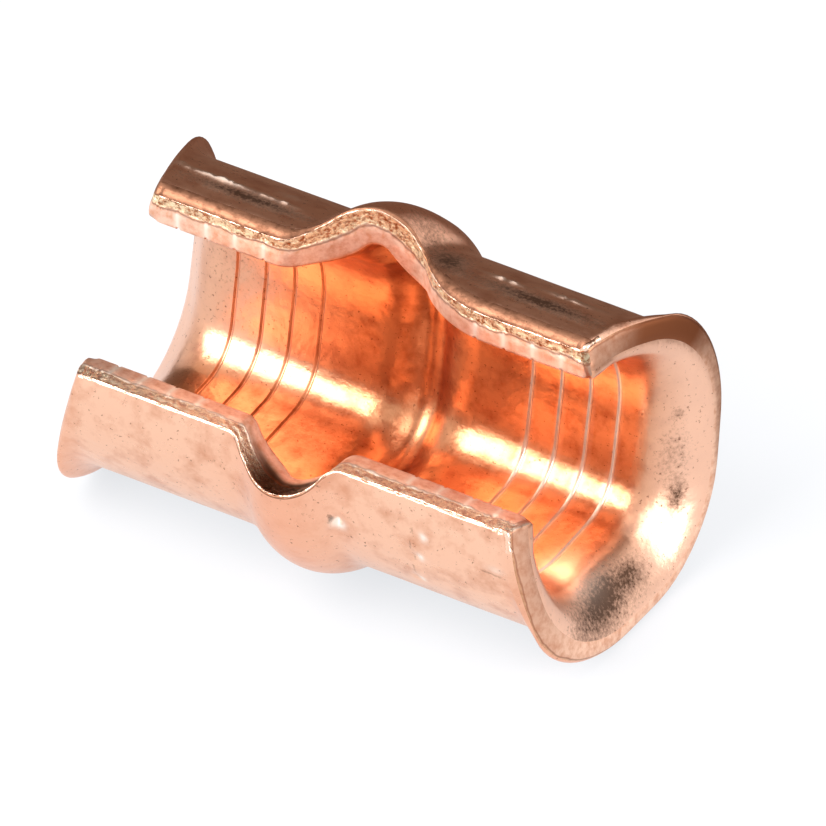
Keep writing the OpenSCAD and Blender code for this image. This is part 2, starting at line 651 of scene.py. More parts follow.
@dataclass(frozen=True)
class Barrel:
    """The open barrel: its strip, bead, bell mouths, rims and grip grooves."""

    name: str = "copper_barrel"
    node: str = "connector_body"
    bore_r: float = 5.15
    wall: float = 2.0
    keel_r: float = 2.15
    flank_angle: float = 40.7
    opening_angle: float = 75.4
    half_length: float = 13.15
    bead_rise: float = 1.02
    bead_crown_r: float = 0.84
    bead_fillet_r: float = 1.16
    # Outer radius where the bead runs into the barrel towards -X
    bead_left_fillet_r: float = 2.1
    # Past this angle the bead leans towards -X and rises, by this length and share at the far rim
    bead_lean_from: float = 95.0
    bead_lean: float = 1.0
    bead_lean_rise: float = 0.36
    # The press left the near dip shallow and towards -X, and the far one deep and towards +X
    near_dip: float = 1.8
    far_dip: float = 2.73
    near_dip_x: float = -0.38
    far_dip_x: float = 0.41
    # Radius of each dip's bottom and of its shoulders, towards -X and +X
    near_dip_r: tuple[float, float] = (2.4, 2.4)
    far_dip_r: tuple[float, float] = (4.95, 1.64)
    near_shoulder_r: tuple[float, float] = (0.6, 0.95)
    far_shoulder_r: tuple[float, float] = (1.33, 5.0)
    # A dip shortens the strip from this angle up, and moves a band of this width by the rim as a whole
    dip_from: float = 95.0
    dip_band: float = 0.7
    bell_start: float = 10.3
    bell_angle: float = 50.0
    bell_fillet_r: float = 2.0
    mouth_start: float = 10.7
    mouth_rise: float = 1.1
    mouth_fillet_r: float = 1.4
    mouth_shoulder_r: float = 0.9
    # The ends bow from this place on, and a band of this width by the end moves as a whole
    end_bow_r: float = 46.0
    bow_from: float = 9.9
    bow_band: float = 0.3
    # Each round finds the bow from the height that the last one gave
    bow_rounds: int = 9
    groove_count: int = 4
    groove_pitch: float = 1.43
    groove_end_gap: float = 0.76
    groove_r: float = 0.1
    groove_land: float = 0.035
    inner_edge_r: float = 0.2
    far_edge_r: float = 0.42
    # The far rim's edge stays sharp in its dip, and grows blunt past it on both sides
    far_dip_edge_r: float = 0.16
    far_sharp_x: float = -0.6
    far_blunt: Ramp = Ramp(2.5, 1.4)
    # The near rim's edge is uneven: mean share, and waves by their share, radians per mm and phase
    near_edge_r: float = 0.15
    near_edge_mean: float = 0.65
    near_edge_waves: tuple[tuple[float, float, float], ...] = ((0.25, 1.7, 0.0), (0.2, 4.1, 1.0))
    # It is sharper towards -X, down to this share
    near_blunt: Ramp = Ramp(-1.0, 9.0)
    near_edge_least: float = 0.4
    # Rounding of the ends: along the bore, and at the inner and outer face before the wall thins
    end_edge_r: float = 0.4
    corner_edge_r: float = 0.15
    bell_edge_r: float = 0.9
    lip_edge_r: float = 0.7
    # Where the edges grow or narrow to those radii, from the end and from the rim
    end_rounding: Ramp = Ramp(-1.2, 0.8)
    corner_rounding: Ramp = Ramp(-1.6, 0.8)
    # The rims are torn from this share of the wall outwards, and the far one stops short of its edge
    tear_from: float = 0.4
    tear_fade: float = 0.2
    far_tear_gap: float = 0.2
    far_tear_fade: float = 0.3
    tear_mm: float = 0.22
    tear_depth: float = 0.06
    tear_mean: float = 0.4
    # Slight waves all over the strip
    wave_mm: float = 3.2
    wave_depth: float = 0.018
    steps: MeshSteps = MeshSteps()
    wear: StripWear = StripWear()

    @property
    def outer_edge_r(self) -> float:
        """Larger of the two rims' outer roundings, which sets the spacing of the mesh."""
        return max(self.near_edge_r, self.far_edge_r)

    @property
    def keel_drop(self) -> float:
        """Distance of the fold's centre below the bore's."""
        return (self.bore_r - self.keel_r) / math.cos(math.radians(self.flank_angle))

    @property
    def flank_width(self) -> float:
        """Width of a flat flank, tangent to the fold and to a round side."""
        return (self.bore_r - self.keel_r) * math.tan(math.radians(self.flank_angle))

    @property
    def rim_angle(self) -> float:
        """Angle of a rim from the middle of the fold."""
        return 180 - self.opening_angle / 2

    @property
    def fold_reach(self) -> float:
        """Distance along the strip from the middle of the fold to a flank."""
        return self.keel_r * math.radians(self.flank_angle)

    @property
    def round_start(self) -> float:
        """Distance along the strip from the middle of the fold to a round side."""
        return self.fold_reach + self.flank_width

    @property
    def strip_reach(self) -> float:
        """Distance along the strip from the middle of the fold to a rim."""
        return self.round_start + self.bore_r * math.radians(self.rim_angle - self.flank_angle)

    def strip_at(self, angle: float) -> float:
        """Distance along the strip to an angle on a round side, with the angle's sign."""
        past = self.bore_r * math.radians(abs(angle) - self.flank_angle)
        return math.copysign(self.round_start + past, angle)

    def groove_places(self) -> list[float]:
        """Distances of one half's grooves from the middle."""
        last = self.bell_start - self.groove_end_gap
        return [last - i * self.groove_pitch for i in range(self.groove_count)]

    def on_rim(self, square: Array) -> Array:
        """Which points of the square-edged strip lie on a rim's face."""
        return np.abs(square[:, 1]) >= self.strip_reach - 1e-4

    def edge_r(self, along: Array, across: Array) -> Array:
        """Radius of the rims' outer rounding.

        Args:
            along: Places along the strip.
            across: Places across it, below zero on the near side.

        Returns:
            The radius at each place.
        """
        blunt = self.far_blunt.share(np.abs(along - self.far_sharp_x))
        far = self.far_dip_edge_r + (self.far_edge_r - self.far_dip_edge_r) * blunt
        waves = sum(share * np.sin(rate * along + phase) for share, rate, phase in self.near_edge_waves)
        worn = np.maximum(self.near_blunt.share(along), self.near_edge_least)
        near = self.near_edge_r * (self.near_edge_mean + waves) * worn
        return np.where(across < 0, near, far)

    def bead_height(self, x: Array, lean: Array, fillet_r: tuple[float, float], crown_r: float) -> Array:
        """Height of one face of the bead.

        Args:
            x: Places along the bore.
            lean: How far the bead leans there, from 0 to 1.
            fillet_r: Radius of its foot towards -X and +X.
            crown_r: Radius of its crown.

        Returns:
            The height at each place.
        """
        middle = x + self.bead_lean * lean
        foot_r = np.where(middle < 0, fillet_r[0], fillet_r[1])
        return bump_height(middle, self.bead_rise, foot_r, crown_r) * (1 + self.bead_lean_rise * lean)

    def inside_height(self, x: Array, lean: Array) -> Array:
        """Height of the inner face over the bore.

        Args:
            x: Places along the bore.
            lean: How far the bead leans there, from 0 to 1.

        Returns:
            The height at each place, with the bells, the bead and the grooves.
        """
        far = np.abs(x)
        slope = math.radians(self.bell_angle)
        past = np.maximum(far - self.bell_start, 0)
        bend = self.bell_fillet_r * math.sin(slope)
        on_fillet = self.bell_fillet_r - np.sqrt(np.maximum(self.bell_fillet_r**2 - past**2, 0))
        on_bell = self.bell_fillet_r * (1 - math.cos(slope)) + (past - bend) * math.tan(slope)
        bell = np.where(past < bend, on_fillet, on_bell)
        foot_r = self.bead_fillet_r + self.wall
        bead = self.bead_height(x, lean, (foot_r, foot_r), self.bead_crown_r)
        groove = np.zeros_like(x)
        for centre in self.groove_places():
            groove = np.maximum(groove, self.groove_r**2 - (far - centre) ** 2)
        return bell + bead + np.sqrt(groove)

    def outside_height(self, x: Array, lean: Array) -> Array:
        """Height of the outer face over the bore.

        Args:
            x: Places along the bore.
            lean: How far the bead leans there, from 0 to 1.

        Returns:
            The height at each place, with the mouths and the bead.
        """
        past = np.maximum(np.abs(x) - self.mouth_start, 0)
        radii = self.mouth_fillet_r + self.mouth_shoulder_r
        run = math.sqrt(self.mouth_rise * (2 * radii - self.mouth_rise))
        to_lip = np.maximum(run - past, 0)
        mouth = bump_height(to_lip, self.mouth_rise, self.mouth_fillet_r, self.mouth_shoulder_r)
        feet_r = (self.bead_left_fillet_r, self.bead_fillet_r)
        return self.wall + self.bead_height(x, lean, feet_r, self.bead_crown_r + self.wall) + mouth

    def dip(self, x: Array, side: Array) -> Array:
        """Depth of a rim's dip at each place along it.

        Args:
            x: Places along the bore.
            side: The rim's side for each place, below zero for the near one.

        Returns:
            The depth, square to the rim.
        """
        near = side < 0
        middle = x - np.where(near, self.near_dip_x, self.far_dip_x)
        part = np.where(middle < 0, 0, 1)
        depth = np.where(near, self.near_dip, self.far_dip)
        shoulder = np.where(near, np.take(self.near_shoulder_r, part), np.take(self.far_shoulder_r, part))
        bottom = np.where(near, np.take(self.near_dip_r, part), np.take(self.far_dip_r, part))
        return bump_height(middle, depth, shoulder, bottom)

    def section(self, strip: Array, height: Array, x: Array) -> tuple[Array, Array, Array]:
        """Places points of the strip in the barrel's cross section.

        Args:
            strip: Distance along the strip from the middle of the fold.
            height: Height over the bore.
            x: Place along the bore, which sets how far a rim dips.

        Returns:
            Y and Z with the fold straight down, and the angle from the fold in degrees.
        """
        flank = math.radians(self.flank_angle)
        far = np.abs(strip)
        side = np.where(strip < 0, -1.0, 1.0)
        fold_turn = np.minimum(far, self.fold_reach) / self.keel_r
        past = np.clip(far - self.fold_reach, 0, self.flank_width)
        turn = flank + np.maximum(far - self.round_start, 0) / self.bore_r
        upper = self.strip_at(self.dip_from)
        dipping = Ramp(upper, self.strip_reach - self.dip_band - upper).share(far)
        round_r = self.bore_r + height
        turn = turn - dipping * np.arcsin(np.clip(self.dip(x, side) / round_r, -1, 1))
        on_round = far > self.round_start
        fold_r = self.keel_r + height
        y = np.where(on_round, round_r * np.sin(turn), fold_r * np.sin(fold_turn) + past * math.cos(flank))
        z = np.where(
            on_round,
            -round_r * np.cos(turn),
            past * math.sin(flank) - self.keel_drop - fold_r * np.cos(fold_turn),
        )
        return side * y, z, np.degrees(np.arctan2(side * y, -z))

    def shape(self, lattice: Array) -> tuple[Array, Array, Array]:
        """Bends points of the flat strip to the finished barrel.

        Args:
            lattice: Points of the strip: along it, across it and through it.

        Returns:
            Points in the frame's place, and each point's angle and place along the bore.
        """
        along, across, through = lattice.T
        lowest = -(self.keel_drop + self.keel_r + self.wall + self.mouth_rise)
        bow_length = self.half_length - self.bow_band - self.bow_from
        bowing = Ramp(self.bow_from, bow_length).share(np.abs(along))
        lean_start = self.strip_at(self.bead_lean_from)
        lean = Ramp(lean_start, self.strip_reach - lean_start).share(across)
        x = along.copy()
        for _ in range(self.bow_rounds):
            inside = self.inside_height(x, lean)
            height = inside + through / self.wall * (self.outside_height(x, lean) - inside)
            y, z, angle = self.section(across, height, x)
            bow = self.end_bow_r - np.sqrt(self.end_bow_r**2 - (z - lowest) ** 2)
            x = along - np.sign(along) * bow * bowing
        lay = math.radians(self.flank_angle)
        laid_y = y * math.cos(lay) - z * math.sin(lay)
        laid_z = y * math.sin(lay) + z * math.cos(lay)
        return np.column_stack((x, laid_y, laid_z)), angle, x

    @staticmethod
    def spread(low: float, high: float, step: float) -> list[float]:
        """Even places from low to high, at most a step apart, without the last one."""
        count = max(1, math.ceil((high - low) / step))
        return [low + (high - low) * i / count for i in range(count)]

    @staticmethod
    def edge_places(radius: float, count: int) -> list[float]:
        """Distances from an edge that round it off evenly."""
        return [radius * (1 - math.tan(math.radians(45 - 45 * i / count))) for i in range(count)]

    def along_places(self) -> Array:
        """Sets out the mesh along the bore.

        Returns:
            Places along the bore, finer at the bead, the grooves, the dents and the mouths.
        """
        steps = self.steps
        land = self.groove_land
        stops = [(0.0, steps.bead_reach, steps.bead)]
        low = steps.bead_reach
        for centre in sorted(self.groove_places()):
            start = centre - self.groove_r
            end = centre + self.groove_r
            dented = low < self.wear.dents[-1].x < start
            stops.append((low, start - land, steps.dented if dented else steps.plain))
            stops.append((start - land, start, land))
            stops.append((start, end, steps.groove))
            stops.append((end, end + land, land))
            low = end + land
        edge = self.half_length - self.end_edge_r
        stops.append((low, edge, steps.mouth))
        half = [place for stop in stops for place in self.spread(*stop)] + [edge]
        rounding = self.edge_places(self.end_edge_r, steps.round_edge)
        half += [self.half_length - distance for distance in rounding]
        return np.unique(np.round([-place for place in half] + half, 6))

    def across_places(self) -> Array:
        """Sets out the mesh across the strip.

        Returns:
            Places across the strip, finer towards the rims and at the dents and rubbed lines.
        """
        steps = self.steps
        reach = self.strip_reach
        edge = reach - self.outer_edge_r
        fine = reach - steps.rim_band
        half = self.spread(0, fine, steps.strip) + self.spread(fine, edge, steps.by_rim) + [edge]
        half += [reach - distance for distance in self.edge_places(self.outer_edge_r, steps.round_edge)]
        places = [-place for place in half] + half
        places += [distance - reach for distance in self.edge_places(self.near_edge_r, steps.near_edge)]
        for mark in self.wear.dents + self.wear.rubs:
            width = self.bore_r * math.radians(mark.reach_angle)
            places += [self.strip_at(mark.angle) + width * offset for offset in steps.mark_lines]
        places = sorted(places)
        apart = [places[0]] + [b for a, b in zip(places, places[1:]) if b - a > steps.least]
        return np.array(apart)

    def through_places(self) -> Array:
        """Sets out the mesh through the strip.

        Returns:
            Places through the strip, finer at its edges.
        """
        steps = self.steps
        edge = self.wall - self.outer_edge_r
        places = self.edge_places(self.inner_edge_r, steps.round_edge)
        places += self.spread(self.inner_edge_r, edge, steps.wall) + [edge]
        for radius, count in (
            (self.outer_edge_r, steps.round_edge),
            (self.near_edge_r, steps.near_edge),
        ):
            places += [self.wall - distance for distance in self.edge_places(radius, count)]
        return np.unique(np.round(places, 6))

    def rounded(self, lattice: Array) -> Array:
        """Rounds the edges of the flat strip.

        Args:
            lattice: Points on the faces of a square-edged strip.

        Returns:
            The points moved on to the rounded edges.
        """
        along, across, through = lattice.T
        inside = through < self.wall / 2
        rim_r = np.where(inside, self.inner_edge_r, self.edge_r(along, across))
        end_r = np.where(inside, self.bell_edge_r, self.lip_edge_r)
        at_end = self.end_rounding.share(np.abs(along) - self.half_length)
        at_corner = self.corner_rounding.share(np.abs(across) - self.strip_reach)
        along_r = self.end_edge_r + (self.corner_edge_r - self.end_edge_r) * at_corner
        radii = np.column_stack((along_r, rim_r, rim_r + (end_r - rim_r) * at_end))
        low = np.array((-self.half_length, -self.strip_reach, 0.0))
        high = np.array((self.half_length, self.strip_reach, self.wall))
        core = np.clip(lattice, low + radii, high - radii)
        out = (lattice - core) / radii
        return core + radii * out / np.linalg.norm(out, axis=1, keepdims=True)

    def tear_rims(self, lattice: Array, on_rim: Array) -> None:
        """Roughens the outer part of both rims, where the strip tore off.

        Args:
            lattice: Points of the strip, which are moved in place.
            on_rim: Which points lie on a rim's face.
        """
        start = self.tear_from * self.wall
        torn = np.nonzero(on_rim & (lattice[:, 2] > start))[0]
        along, across, through = lattice[torn].T
        side = np.sign(across)
        share = Ramp(start, self.tear_fade).share(through)
        to_edge = self.wall - self.far_tear_gap - through
        far_share = np.minimum(share, Ramp(0.0, self.far_tear_fade).share(to_edge))
        # Far apart in the noise, so that the two rims are torn unlike
        rims_apart = 7
        places = np.column_stack((along, rims_apart * side, through))
        tears = np.array([noise.noise(Vector(place) / self.tear_mm) for place in places])
        depth = np.where(across > 0, far_share, share) * self.tear_depth * (tears + self.tear_mean)
        lattice[torn, 1] -= side * depth

    def mark(self, points: Array, lattice: Array, angle: Array, x: Array) -> Array:
        """Adds the strip's slight waves, the dents and the rubbed lines.

        Args:
            points: Points of the finished barrel.
            lattice: The same points in the flat strip.
            angle: Angle of each point from the fold.
            x: Place of each point along the bore.

        Returns:
            The moved points.
        """
        # The same points a little further out show which way is out
        outwards = np.array((0.0, 0.0, 0.05))
        out = self.shape(lattice + outwards)[0] - points
        out /= np.linalg.norm(out, axis=1, keepdims=True)
        wear = self.wear
        waves = np.array([noise.noise(Vector(point) / self.wave_mm) for point in points])
        breaks = np.array(
            [noise.noise(Vector((point[0], 0.0, 0.0)) / wear.rub_break_mm) for point in points]
        )
        rub = total_share(wear.rubs, x, angle) * np.clip(wear.rub_mean + breaks, 0, 1)
        outside = lattice[:, 2] > self.wall / 2
        move = self.wave_depth * waves + np.where(outside, rub - total_share(wear.dents, x, angle), 0)
        return points + out * move[:, None]

    def groove_polish_and_highlight(self, x: Array, on_rim: Array) -> Array:
        """Shows where the grooving tool rubbed the copper bright on the rims, and paints a highlight in the
        bore's grooves towards +X.

        Args:
            x: Place of each point along the bore.
            on_rim: Which points lie on a rim's face.

        Returns:
            How pale each point is made: most on the rims, less in the grooves towards +X as a painted
                highlight, and not in the grooves towards -X.
        """
        apart = np.min([np.abs(np.abs(x) - centre) for centre in self.groove_places()], axis=0)
        width = np.where(on_rim, self.wear.groove_mark_width * self.groove_r, self.groove_r)
        polish_and_highlight = np.where(on_rim, 1.0, np.where(x > 0, self.wear.groove_polish_and_highlight, 0.0))
        return np.exp(-((apart / width) ** 2)) * polish_and_highlight

    def finish_shares(self, square: Array, angle: Array, x: Array) -> dict[str, Array]:
        """Works out what the finishes read at each point.

        Args:
            square: Points of the square-edged strip.
            angle: Angle of each point from the fold.
            x: Place of each point along the bore.

        Returns:
            The values of each attribute, by its name.
        """
        along, across, through = square.T
        wear = self.wear
        shear = through / self.wall
        inner = shear < 0.5
        on_rim = self.on_rim(square)
        on_near_rim = on_rim & (across < 0)
        in_dip = np.exp(-(((x - self.near_dip_x) / wear.dip_dark_reach) ** 4))
        in_groove = np.where(on_rim, wear.groove_mark_band.share(1 - shear), inner)
        torn = wear.torn_pale * (1 - in_dip) * (on_near_rim & (shear > 0.5))
        rubbed = total_share(wear.rubs, x, angle) / max(spot.strength for spot in wear.rubs)
        # Painted highlights outside by the dents, the scratch and along the rubbed lines, and in the bore by
        # the right bell
        outer_glints = total_share(wear.dent_glints, x, angle) + wear.rub_highlight * rubbed
        glints = np.where(inner, total_share(wear.bore_glints, x, angle), outer_glints)
        stains = total_share(wear.tarnish_spots, x, angle)
        # Painted shade outside, in the same attribute as the bore's tarnish
        shades = total_share(wear.dent_shades, x, angle)
        # Paler bells as painted reflection; outside, darker mouths and bead as painted shade
        mouth = Ramp(self.bell_start, self.bell_fillet_r, wear.mouth_tint).share(np.abs(x))
        bore_pale = wear.left_pale.share(-x) * wear.far_pale.share(angle)
        bead_shade = wear.bead_shade * np.exp(-((x / wear.bead_shade_reach) ** 2))
        at_right_end = wear.end_face.share(np.abs(along) - self.half_length) * (x > 0)
        # Painted shade on the right end towards the far rim; it is darker towards the near rim too
        far_shade = wear.far_end_shade.share(angle) * (1 - wear.far_end_clear.share(angle))
        end_darkening = at_right_end * np.maximum(far_shade, wear.near_end_dark.share(-angle))
        dip_darkening = in_dip * wear.dip_dark.share(shear) * on_near_rim
        grooves = self.groove_polish_and_highlight(x, on_rim) * in_groove
        return {
            "shear": shear,
            "tarnish_and_shade": np.where(inner, stains, shades),
            "mouth": np.maximum(mouth, np.where(inner, bore_pale, bead_shade)),
            "polish_and_highlight": grooves + torn + np.where(on_rim, 0, np.clip(glints, 0, 1)),
            "darkening": np.maximum(end_darkening, dip_darkening),
        }

    def faces(self, index: Array, axes: tuple[Array, ...]) -> tuple[Array, Array]:
        """Joins the strip's points into faces that point outwards.

        Args:
            index: Number of each surface point in the lattice.
            axes: Places of the lattice along, across and through the strip.

        Returns:
            Four point numbers for each face, and each face's zone.
        """
        sheets = (
            (index[:, :, 0], Zone.BORE, True),
            (index[:, :, -1], Zone.OUTSIDE, False),
            (index[:, 0, :], Zone.RIM, False),
            (index[:, -1, :], Zone.RIM, True),
            (index[0, :, :], Zone.END, True),
            (index[-1, :, :], Zone.END, False),
        )
        along, side, depth = ((places[:-1] + places[1:]) / 2 for places in axes)
        far_edge = self.edge_r(along, np.ones_like(along))[:, None]
        in_dip = np.abs(along - self.near_dip_x)[:, None] < self.near_dip_r[0]
        faces = []
        zones = []
        for sheet, zone, turned in sheets:
            corners = (sheet[:-1, :-1], sheet[1:, :-1], sheet[1:, 1:], sheet[:-1, 1:])
            quads = np.column_stack([corner.ravel() for corner in corners])
            faces.append(quads[:, ::-1] if turned else quads)
            grid = np.full(corners[0].shape, int(zone))
            if zone == Zone.OUTSIDE:
                # The far rim's outer edge, and the near one's in its dip, take the painted shade edge finish
                grid[side[None, :] > self.strip_reach - far_edge] = int(Zone.EDGE)
                grid[in_dip & (side[None, :] < self.near_edge_r - self.strip_reach)] = int(Zone.EDGE)
            elif zone == Zone.RIM and turned:
                grid[depth[None, :] > self.wall - far_edge] = int(Zone.EDGE)
            elif zone == Zone.RIM:
                grid[:, depth > self.wall - self.near_edge_r] = int(Zone.OUTSIDE)
                grid[in_dip & (depth[None, :] > self.wall - self.near_edge_r)] = int(Zone.EDGE)
            elif zone == Zone.END:
                grid[:, depth < self.bell_edge_r / 2] = int(Zone.BORE)
                grid[:, depth > self.wall - self.lip_edge_r / 3] = int(Zone.OUTSIDE)
            zones.append(grid.ravel())
        return np.concatenate(faces), np.concatenate(zones)

    def build(self) -> bpy.types.Object:
        """Builds the barrel's mesh, with its marks and zones.

        Returns:
            The barrel, at the origin.
        """
        axes = (self.along_places(), self.across_places(), self.through_places())
        counts = tuple(len(places) for places in axes)
        steps = np.indices(counts)
        last = np.array(counts)[:, None, None, None] - 1
        on_face = ((steps == 0) | (steps == last)).any(axis=0)
        index = np.full(counts, -1)
        index[on_face] = np.arange(on_face.sum())
        chosen = [step[on_face] for step in steps]
        square = np.column_stack([places[step] for places, step in zip(axes, chosen)])
        lattice = self.rounded(square)
        self.tear_rims(lattice, self.on_rim(square))
        points, angle, x = self.shape(lattice)
        points = self.mark(points, lattice, angle, x)
        faces, zones = self.faces(index, axes)
        mesh = bpy.data.meshes.new(self.name)
        mesh.from_pydata((points * MM).tolist(), [], faces.tolist())
        mesh.polygons.foreach_set("material_index", zones)
        mesh.polygons.foreach_set("use_smooth", np.ones(len(faces), bool))
        for name, values in self.finish_shares(square, angle, x).items():
            mesh.attributes.new(name, "FLOAT", "POINT").data.foreach_set("value", values.astype(np.float32))
        mesh.update()
        return add_object(self.name, mesh)

    def dress(self, barrel: bpy.types.Object) -> None:
        """Gives the barrel its finishes and its place in the frame.

        Args:
            barrel: The barrel's object.
        """
        for zone in Zone:
            barrel.data.materials.append(FINISHES[zone].build())
        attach(barrel, "root")
        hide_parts(self.node)


@dataclass(frozen=True)
class RimBurr:
    """The thin bright burr that a press leaves along the outer edge of a rim."""

    rim: Rim
    # The burr's path: gaps to the two ends, and its place on the edge's rounding, as shares of it
    start_gap: float = 0.5
    corner_gap: float = 0.3
    path_points: int = 420
    inset: float = 0.03
    depth: float = 0.85
    # Past the corner it runs down the end: from and to, and its gaps to the end and the outside
    drop: tuple[float, float] = (0.1, 0.7)
    drop_points: int = 8
    end_gap: float = 0.05
    outside_gap: float = 0.15
    # Half thickness, which patches thin down to a share, and how far they shift it
    thickness: float = 0.075
    least: float = 0.1
    spread: float = 0.08
    patch_mm: float = 0.45
    step: float = 0.06
    sides: int = 8
    seed: float = 3.0
    # It swells over this part of its length, by this many times its thickness
    swell_at: tuple[float, float] = (0.93, 0.965)
    end_swell: float = 1.5

    def path(self, barrel: Barrel) -> Array:
        """Follows a rim where its torn face meets the rounded outer edge.

        Args:
            barrel: The barrel that the rim is on.

        Returns:
            Points along the edge, in metres.
        """
        side = self.rim.value
        along = np.linspace(
            self.start_gap - barrel.half_length, barrel.half_length - self.corner_gap, self.path_points
        )
        edge = barrel.edge_r(along, np.full_like(along, side))
        down = np.linspace(*self.drop, self.drop_points)
        along = np.append(along, np.full_like(down, barrel.half_length - self.end_gap))
        across = np.append(barrel.strip_reach - self.inset * edge, barrel.strip_reach - down)
        through = np.append(
            barrel.wall - self.depth * edge, np.full_like(down, barrel.wall - self.outside_gap)
        )
        return barrel.shape(np.column_stack((along, side * across, through)))[0] * MM

    def tree(self, material: bpy.types.Material) -> bpy.types.NodeTree:
        """Builds the nodes that sweep an uneven bead of metal along an edge.

        Args:
            material: The burr's finish.

        Returns:
            The tree, with its sizes as named inputs.
        """
        tree = bpy.data.node_groups.new("burr along an edge", "GeometryNodeTree")
        for name, kind in (
            ("Edge", "NodeSocketGeometry"),
            ("Thickness", "NodeSocketFloat"),
            ("Spread", "NodeSocketFloat"),
            ("Patch Scale", "NodeSocketFloat"),
            ("Step", "NodeSocketFloat"),
            ("Seed", "NodeSocketFloat"),
            ("End Swell", "NodeSocketFloat"),
        ):
            tree.interface.new_socket(name, in_out="INPUT", socket_type=kind)
        tree.interface.new_socket("Burr", in_out="OUTPUT", socket_type="NodeSocketGeometry")
        given = add_node(tree, "NodeGroupInput").outputs
        curve = add_node(tree, "GeometryNodeMeshToCurve", {"Mesh": given["Edge"]})
        even = add_node(
            tree,
            "GeometryNodeResampleCurve",
            {"Curve": curve.outputs["Curve"], "Length": given["Step"]},
            mode="LENGTH",
        )
        patches = add_node(
            tree,
            "ShaderNodeTexNoise",
            {"W": given["Seed"], "Scale": given["Patch Scale"], "Detail": 3.0},
            noise_dimensions="4D",
        )
        thick = add_node(
            tree,
            "ShaderNodeMapRange",
            {0: patches.outputs["Fac"], 1: 0.42, 2: 0.68, 3: self.least, 4: 1.0},
        )
        # The press drags the burr into a lump at the last corner
        along = add_node(tree, "GeometryNodeSplineParameter").outputs["Factor"]
        swell = add_node(
            tree,
            "ShaderNodeMapRange",
            {0: along, 1: self.swell_at[0], 2: self.swell_at[1], 3: 0.0, 4: given["End Swell"]},
        )
        swollen = add_node(
            tree, "ShaderNodeMath", {0: thick.outputs[0], 1: swell.outputs[0]}, operation="ADD"
        )
        radius = add_node(
            tree, "ShaderNodeMath", {0: swollen.outputs[0], 1: given["Thickness"]}, operation="MULTIPLY"
        )
        centred = add_node(
            tree,
            "ShaderNodeVectorMath",
            {0: patches.outputs["Color"], 1: (0.5, 0.5, 0.5)},
            operation="SUBTRACT",
        )
        shift = add_node(
            tree,
            "ShaderNodeVectorMath",
            {0: centred.outputs[0], "Scale": given["Spread"]},
            operation="SCALE",
        )
        moved = add_node(
            tree,
            "GeometryNodeSetPosition",
            {"Geometry": even.outputs["Curve"], "Offset": shift.outputs[0]},
        )
        round_wire = add_node(
            tree, "GeometryNodeCurvePrimitiveCircle", {"Resolution": self.sides, "Radius": 1.0}
        )
        sized = add_node(
            tree,
            "GeometryNodeSetCurveRadius",
            {"Curve": moved.outputs["Geometry"], "Radius": radius.outputs[0]},
        )
        swept = add_node(
            tree,
            "GeometryNodeCurveToMesh",
            {
                "Curve": sized.outputs["Curve"],
                "Profile Curve": round_wire.outputs["Curve"],
                "Scale": radius.outputs[0],
                "Fill Caps": True,
            },
        )
        real = add_node(tree, "GeometryNodeRealizeInstances", {"Geometry": swept.outputs["Mesh"]})
        dressed = add_node(
            tree,
            "GeometryNodeSetMaterial",
            {"Geometry": real.outputs["Geometry"], "Material": material},
        )
        add_node(tree, "NodeGroupOutput", {"Burr": dressed.outputs["Geometry"]})
        return tree

    def build(self, barrel: Barrel, material: bpy.types.Material) -> bpy.types.Object:
        """Sweeps the burr along its rim.

        Args:
            barrel: The barrel that the rim is on.
            material: The burr's finish.

        Returns:
            The burr as a plain mesh.
        """
        name = f"{self.rim.name.lower()}_rim_burr"
        edge = self.path(barrel)
        line = bpy.data.meshes.new(name)
        line.from_pydata(edge.tolist(), [(i, i + 1) for i in range(len(edge) - 1)], [])
        burr = add_object(name, line)
        tree = self.tree(material)
        modifier = burr.modifiers.new("burr", "NODES")
        modifier.node_group = tree
        sizes = {
            "Thickness": self.thickness * MM,
            "Spread": self.spread * MM,
            "Patch Scale": per_mm(self.patch_mm),
            "Step": self.step * MM,
            "Seed": self.seed + self.rim.value,
            "End Swell": self.end_swell,
        }
        for item in tree.interface.items_tree:
            if item.name in sizes:
                modifier[item.identifier] = sizes[item.name]
        bpy.context.view_layer.update()
        graph = bpy.context.evaluated_depsgraph_get()
        mesh = bpy.data.meshes.new_from_object(burr.evaluated_get(graph))
        burr.modifiers.clear()
        burr.data = mesh
        mesh.polygons.foreach_set("use_smooth", np.ones(len(mesh.polygons), bool))
        return burr

    @staticmethod
    def dress(burr: bpy.types.Object) -> None:
        """Gives the burr its place in the frame."""
        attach(burr, "root")


@dataclass(frozen=True)
class Softbox:
    """A soft lamp aimed at the connector."""

    name: str
    direction: Point
    distance: float
    width: float
    height: float
    radiance: float

    def build(self) -> None:
        """Adds the lamp, whose power gives its face the wanted radiance."""
        lamp = bpy.data.lights.new(self.name, "AREA")
        lamp.shape = "RECTANGLE"
        lamp.size = self.width
        lamp.size_y = self.height
        lamp.energy = self.radiance * math.pi * self.width * self.height
        aim = Vector(self.direction).normalized()
        holder = add_object(self.name, lamp)
        holder.location = aim * self.distance
        holder.rotation_euler = aim.to_track_quat("Z", "Y").to_euler()


